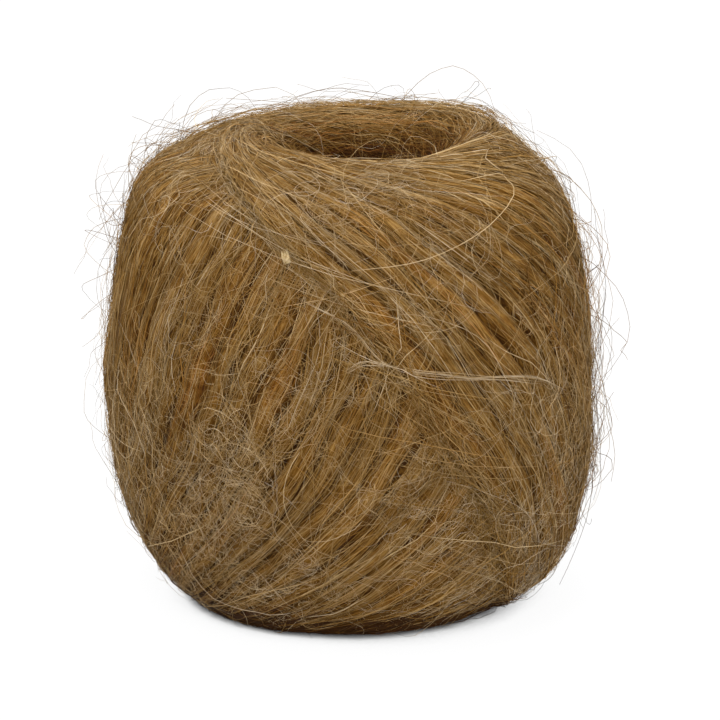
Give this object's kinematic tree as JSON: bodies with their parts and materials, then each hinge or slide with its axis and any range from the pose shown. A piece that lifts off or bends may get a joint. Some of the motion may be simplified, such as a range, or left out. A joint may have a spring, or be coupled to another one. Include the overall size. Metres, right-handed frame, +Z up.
{
  "type": "ball of string",
  "caption": "Upright barrel-shaped ball of wound bast-fibre string with a slanted draw-out hole through its middle and a flat spot to rest on.",
  "frame": {"origin": "centre of the bounding box at the surface the ball rests on", "axes": "+Z up, -Y towards the front of the ball, where the newest loop's edge runs from upper left to lower right, +X to its right"},
  "size_m": [0.1002, 0.0996, 0.0981],
  "materials": {
    "string": "matte, hairy bast fibre, mixed tan, blond and rust brown"
  },
  "bodies": {
    "root": {"wound_strand": "string"}
  },
  "joints": []
}
